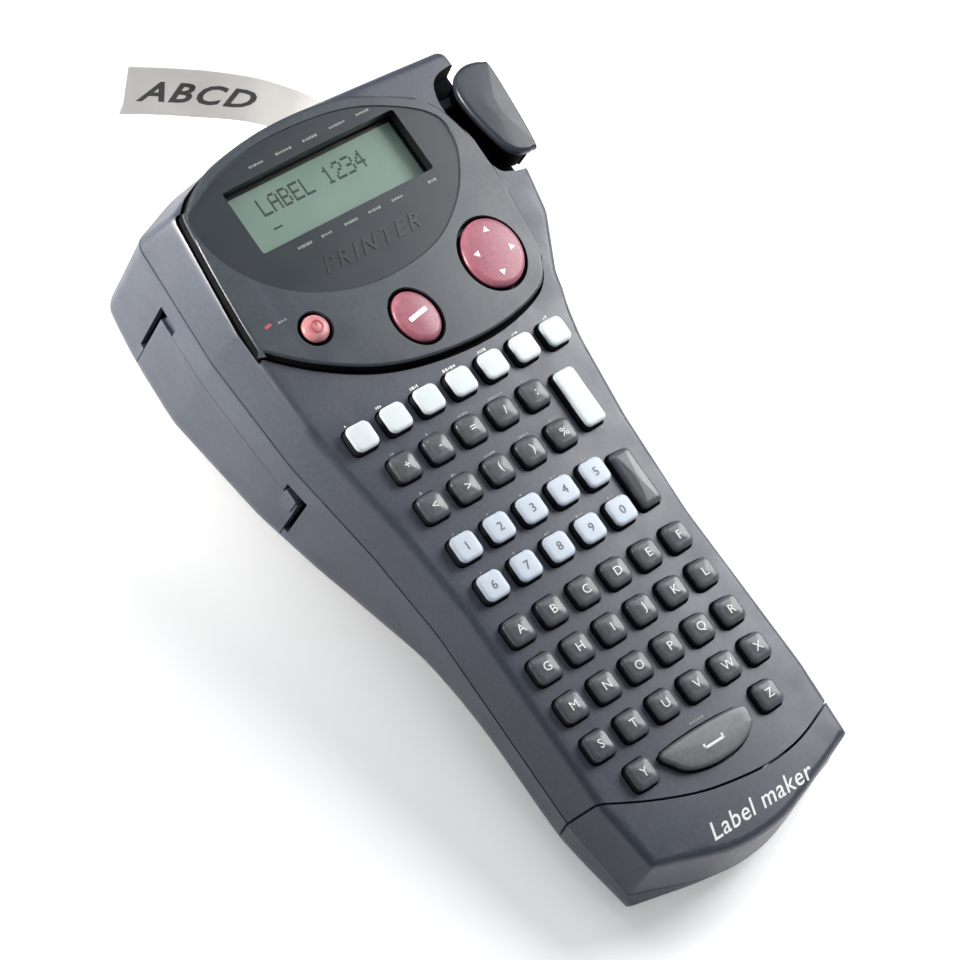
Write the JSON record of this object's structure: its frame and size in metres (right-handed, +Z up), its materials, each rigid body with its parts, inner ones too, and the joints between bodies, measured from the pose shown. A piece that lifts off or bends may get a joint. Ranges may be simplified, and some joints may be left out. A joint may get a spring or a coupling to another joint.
{
  "type": "embossing label maker",
  "caption": "Hand-held electronic label maker with display, pressable keypad, thumb cutting lever, label tape, and covers that open over the cassette and the batteries.",
  "frame": {"origin": "on the flat of the underside, on the centre line of the keypad, 58 mm up the face from the middle row of letter keys", "axes": "+Z up from the table, +Y along the object towards the head with the display, +X across to the side with the thumb lever"},
  "size_m": [0.1124, 0.2692, 0.0698],
  "materials": {
    "slate": "fine matte texture",
    "fascia": "satin",
    "key_grey": "satin",
    "key_white": "satin",
    "key_lilac": "satin",
    "maroon": "satin rubber",
    "window": "clear hard-coated plastic window",
    "lcd": "liquid crystal cell in a frame",
    "silicone": "moulded silicone",
    "board": "solder-masked laminate",
    "steel": "bright",
    "black": "satin",
    "roller": "ground rubber",
    "acetal": "natural acetal",
    "paper": "laminated label tape",
    "cell": "printed battery jacket"
  },
  "bodies": {
    "case": {"upper_case": "slate", "lower_case": "slate", "end_cap": "slate", "head_fascia": "fascia", "display_window": "window", "lcd_module": "lcd", "main_board": "board", "keypad_mat": "silicone", "label_tape": "paper", "cutter_spring": "steel", "motor": "steel", "mechanism_chassis": "black", "print_head": "steel", "tape_cassette": "black", "battery_1": "cell", "battery_2": "cell", "battery_3": "cell", "battery_4": "cell", "contacts_front": "steel", "contacts_rear": "steel"},
    "key_function_1": {"key_function_1": "key_white"},
    "key_function_2": {"key_function_2": "key_white"},
    "key_function_3": {"key_function_3": "key_white"},
    "key_function_4": {"key_function_4": "key_white"},
    "key_function_5": {"key_function_5": "key_white"},
    "key_function_6": {"key_function_6": "key_white"},
    "key_function_7": {"key_function_7": "key_white"},
    "key_number_0": {"key_number_0": "key_lilac"},
    "key_number_1": {"key_number_1": "key_lilac"},
    "key_number_2": {"key_number_2": "key_lilac"},
    "key_number_3": {"key_number_3": "key_lilac"},
    "key_number_4": {"key_number_4": "key_lilac"},
    "key_number_5": {"key_number_5": "key_lilac"},
    "key_number_6": {"key_number_6": "key_lilac"},
    "key_number_7": {"key_number_7": "key_lilac"},
    "key_number_8": {"key_number_8": "key_lilac"},
    "key_number_9": {"key_number_9": "key_lilac"},
    "key_corner_left": {"key_corner_left": "key_grey"},
    "key_corner_right": {"key_corner_right": "key_grey"},
    "key_tall_white": {"key_tall_white": "key_white"},
    "key_tall_grey": {"key_tall_grey": "key_grey"},
    "letter_row_1": {"letter_row_1": "key_grey"},
    "letter_row_2": {"letter_row_2": "key_grey"},
    "letter_row_3": {"letter_row_3": "key_grey"},
    "letter_row_4": {"letter_row_4": "key_grey"},
    "letter_row_5": {"letter_row_5": "key_grey"},
    "letter_row_6": {"letter_row_6": "key_grey"},
    "key_space": {"key_space": "key_grey"},
    "button_print": {"button_print": "maroon"},
    "button_power": {"button_power": "maroon"},
    "nav_pad": {"nav_pad": "maroon"},
    "thumb_lever": {"cutter_lever": "slate"},
    "blade_carriage": {"cutter_blade": "steel"},
    "platen": {"platen_roller": "roller", "platen_gear": "acetal"},
    "idler": {"idler_gear": "acetal"},
    "pinion": {"motor_pinion": "acetal"},
    "spool": {"tape_spool": "acetal"},
    "cassette_cover": {"cassette_door": "slate"},
    "battery_cover": {"battery_door": "slate"}
  },
  "joints": [
    {"name": "nav_pad_rock", "type": "hinge", "parent": "case", "child": "nav_pad", "pos_m": [0.0306, 0.02275, 0.05367], "axis": [1, 0, 0], "range_deg": [-4, 4], "stiffness_Nm_per_rad": 0.12},
    {"name": "thumb_lever_press", "type": "hinge", "parent": "case", "child": "thumb_lever", "pos_m": [0.058, 0.04748, 0.05849], "axis": [0, -0.1874, 0.9823], "range_deg": [0, 9.5], "stiffness_Nm_per_rad": 0.6},
    {"name": "blade_stroke", "type": "slide", "parent": "case", "child": "blade_carriage", "axis": [-1, 0, 0], "range_m": [0, 0.0029]},
    {"name": "platen_spin", "type": "hinge", "parent": "case", "child": "platen", "pos_m": [0.0407, 0.06896, 0.03876], "axis": [0, -0.1874, 0.9823], "continuous": true},
    {"name": "idler_spin", "type": "hinge", "parent": "case", "child": "idler", "pos_m": [0.0246, 0.0608, 0.03721], "axis": [0, -0.1874, 0.9823], "continuous": true},
    {"name": "pinion_spin", "type": "hinge", "parent": "case", "child": "pinion", "pos_m": [0.01125, 0.0664, 0.03827], "axis": [0, -0.1874, 0.9823], "continuous": true},
    {"name": "spool_spin", "type": "hinge", "parent": "case", "child": "spool", "pos_m": [-0.018, 0.04006, 0.00881], "axis": [0, -0.1874, 0.9823], "continuous": true},
    {"name": "cassette_cover_lift", "type": "slide", "parent": "case", "child": "cassette_cover", "axis": [0, 0.1874, -0.9823], "range_m": [0, 0.03]},
    {"name": "battery_cover_swing", "type": "hinge", "parent": "case", "child": "battery_cover", "pos_m": [0, -0.04566, 0.00535], "axis": [1, 0, 0], "range_deg": [0, 85]},
    {"name": "key_function_1_press", "type": "slide", "parent": "case", "child": "key_function_1", "axis": [0, 0.1874, -0.9823], "range_m": [0, 0.0012], "stiffness_N_per_m": 300},
    {"name": "key_function_2_press", "type": "slide", "parent": "case", "child": "key_function_2", "axis": [0, 0.1874, -0.9823], "range_m": [0, 0.0012], "stiffness_N_per_m": 300},
    {"name": "key_function_3_press", "type": "slide", "parent": "case", "child": "key_function_3", "axis": [0, 0.1874, -0.9823], "range_m": [0, 0.0012], "stiffness_N_per_m": 300},
    {"name": "key_function_4_press", "type": "slide", "parent": "case", "child": "key_function_4", "axis": [0, 0.1874, -0.9823], "range_m": [0, 0.0012], "stiffness_N_per_m": 300},
    {"name": "key_function_5_press", "type": "slide", "parent": "case", "child": "key_function_5", "axis": [0, 0.1874, -0.9823], "range_m": [0, 0.0012], "stiffness_N_per_m": 300},
    {"name": "key_function_6_press", "type": "slide", "parent": "case", "child": "key_function_6", "axis": [0, 0.1874, -0.9823], "range_m": [0, 0.0012], "stiffness_N_per_m": 300},
    {"name": "key_function_7_press", "type": "slide", "parent": "case", "child": "key_function_7", "axis": [0, 0.1874, -0.9823], "range_m": [0, 0.0012], "stiffness_N_per_m": 300},
    {"name": "key_number_0_press", "type": "slide", "parent": "case", "child": "key_number_0", "axis": [0, 0.1874, -0.9823], "range_m": [0, 0.0012], "stiffness_N_per_m": 300},
    {"name": "key_number_1_press", "type": "slide", "parent": "case", "child": "key_number_1", "axis": [0, 0.1874, -0.9823], "range_m": [0, 0.0012], "stiffness_N_per_m": 300},
    {"name": "key_number_2_press", "type": "slide", "parent": "case", "child": "key_number_2", "axis": [0, 0.1874, -0.9823], "range_m": [0, 0.0012], "stiffness_N_per_m": 300},
    {"name": "key_number_3_press", "type": "slide", "parent": "case", "child": "key_number_3", "axis": [0, 0.1874, -0.9823], "range_m": [0, 0.0012], "stiffness_N_per_m": 300},
    {"name": "key_number_4_press", "type": "slide", "parent": "case", "child": "key_number_4", "axis": [0, 0.1874, -0.9823], "range_m": [0, 0.0012], "stiffness_N_per_m": 300},
    {"name": "key_number_5_press", "type": "slide", "parent": "case", "child": "key_number_5", "axis": [0, 0.1874, -0.9823], "range_m": [0, 0.0012], "stiffness_N_per_m": 300},
    {"name": "key_number_6_press", "type": "slide", "parent": "case", "child": "key_number_6", "axis": [0, 0.1874, -0.9823], "range_m": [0, 0.0012], "stiffness_N_per_m": 300},
    {"name": "key_number_7_press", "type": "slide", "parent": "case", "child": "key_number_7", "axis": [0, 0.1874, -0.9823], "range_m": [0, 0.0012], "stiffness_N_per_m": 300},
    {"name": "key_number_8_press", "type": "slide", "parent": "case", "child": "key_number_8", "axis": [0, 0.1874, -0.9823], "range_m": [0, 0.0012], "stiffness_N_per_m": 300},
    {"name": "key_number_9_press", "type": "slide", "parent": "case", "child": "key_number_9", "axis": [0, 0.1874, -0.9823], "range_m": [0, 0.0012], "stiffness_N_per_m": 300},
    {"name": "key_corner_left_press", "type": "slide", "parent": "case", "child": "key_corner_left", "axis": [0, 0.1874, -0.9823], "range_m": [0, 0.0012], "stiffness_N_per_m": 300},
    {"name": "key_corner_right_press", "type": "slide", "parent": "case", "child": "key_corner_right", "axis": [0, 0.1874, -0.9823], "range_m": [0, 0.0012], "stiffness_N_per_m": 300},
    {"name": "key_tall_white_press", "type": "slide", "parent": "case", "child": "key_tall_white", "axis": [0, 0.1874, -0.9823], "range_m": [0, 0.0012], "stiffness_N_per_m": 300},
    {"name": "key_tall_grey_press", "type": "slide", "parent": "case", "child": "key_tall_grey", "axis": [0, 0.1874, -0.9823], "range_m": [0, 0.0012], "stiffness_N_per_m": 300},
    {"name": "letter_row_1_press", "type": "slide", "parent": "case", "child": "letter_row_1", "axis": [0, 0.1874, -0.9823], "range_m": [0, 0.0012], "stiffness_N_per_m": 900},
    {"name": "letter_row_2_press", "type": "slide", "parent": "case", "child": "letter_row_2", "axis": [0, 0.1874, -0.9823], "range_m": [0, 0.0012], "stiffness_N_per_m": 900},
    {"name": "letter_row_3_press", "type": "slide", "parent": "case", "child": "letter_row_3", "axis": [0, 0.1874, -0.9823], "range_m": [0, 0.0012], "stiffness_N_per_m": 900},
    {"name": "letter_row_4_press", "type": "slide", "parent": "case", "child": "letter_row_4", "axis": [0, 0.1874, -0.9823], "range_m": [0, 0.0012], "stiffness_N_per_m": 900},
    {"name": "letter_row_5_press", "type": "slide", "parent": "case", "child": "letter_row_5", "axis": [0, 0.1874, -0.9823], "range_m": [0, 0.0012], "stiffness_N_per_m": 900},
    {"name": "letter_row_6_press", "type": "slide", "parent": "case", "child": "letter_row_6", "axis": [0, 0.1874, -0.9823], "range_m": [0, 0.0012], "stiffness_N_per_m": 900},
    {"name": "key_space_press", "type": "slide", "parent": "case", "child": "key_space", "axis": [0, 0.1874, -0.9823], "range_m": [0, 0.0012], "stiffness_N_per_m": 500},
    {"name": "button_print_press", "type": "slide", "parent": "case", "child": "button_print", "axis": [0, 0.1874, -0.9823], "range_m": [0, 0.0012], "stiffness_N_per_m": 400},
    {"name": "button_power_press", "type": "slide", "parent": "case", "child": "button_power", "axis": [0, 0.1874, -0.9823], "range_m": [0, 0.0012], "stiffness_N_per_m": 300}
  ],
  "couplings": [
    {"joint": "blade_stroke", "follows": "thumb_lever_press", "m_per_rad": 0.01689},
    {"joint": "idler_spin", "follows": "platen_spin", "ratio": -0.66667},
    {"joint": "pinion_spin", "follows": "platen_spin", "ratio": 2},
    {"joint": "spool_spin", "follows": "platen_spin", "ratio": -0.2958}
  ]
}
